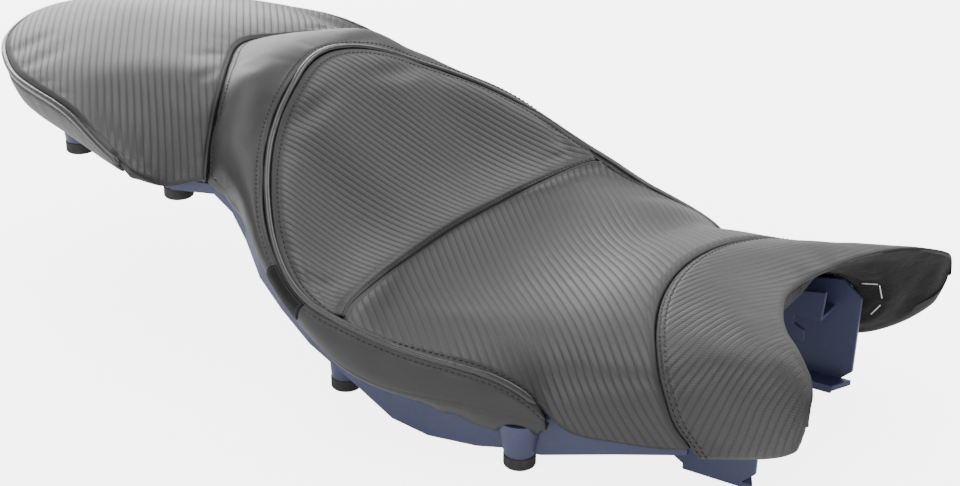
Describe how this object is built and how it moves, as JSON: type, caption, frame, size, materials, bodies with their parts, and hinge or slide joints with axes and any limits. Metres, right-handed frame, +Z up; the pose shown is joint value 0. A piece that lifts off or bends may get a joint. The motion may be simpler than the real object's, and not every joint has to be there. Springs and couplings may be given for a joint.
{
  "type": "motorcycle seat",
  "caption": "One-piece rider and passenger motorcycle seat: moulded pan with foam, piped carbon-look and plain vinyl cover, front tongues, rubber feet and latch striker.",
  "frame": {"origin": "centre of the round bar of the latch striker under the passenger part, on the middle plane", "axes": "+X to the front of the motorcycle, +Y to its left, +Z up"},
  "size_m": [0.7527, 0.3709, 0.2091],
  "materials": {
    "pan_plastic": "moulded navy plastic, fine spark texture, semi-matt",
    "seat_foam": "open-cell moulded polyurethane foam",
    "carbon_vinyl": "black vinyl embossed with a carbon-look twill of slanted strands, soft sheen",
    "plain_vinyl": "plain black vinyl with a very fine grain, satin",
    "piping_vinyl": "smooth black piping, glossy",
    "lining_felt": "black needled felt lining",
    "staple_wire": "bright galvanised staple wire",
    "zinc_steel": "zinc-plated steel",
    "insert_brass": "knurled brass",
    "foot_rubber": "black moulded rubber, matt",
    "tag_fabric": "black woven label, blank"
  },
  "bodies": {
    "root": {"seat_pan": "pan_plastic", "foam_cushion": "seat_foam", "pillion_panel": "carbon_vinyl", "pillion_side_band": "plain_vinyl", "bolster_panel": "plain_vinyl", "rider_rear_panel": "carbon_vinyl", "rider_front_panel": "carbon_vinyl", "nose_panel": "carbon_vinyl", "nose_lining": "lining_felt", "nose_staples": "staple_wire", "pillion_piping": "piping_vinyl", "rider_piping": "piping_vinyl", "side_tag": "tag_fabric", "latch_plate": "zinc_steel", "latch_striker": "zinc_steel", "latch_washers": "zinc_steel", "latch_screws": "zinc_steel", "latch_inserts": "insert_brass", "front_feet": "foot_rubber", "middle_feet": "foot_rubber", "pillion_feet": "foot_rubber", "rear_feet": "foot_rubber"}
  },
  "joints": []
}
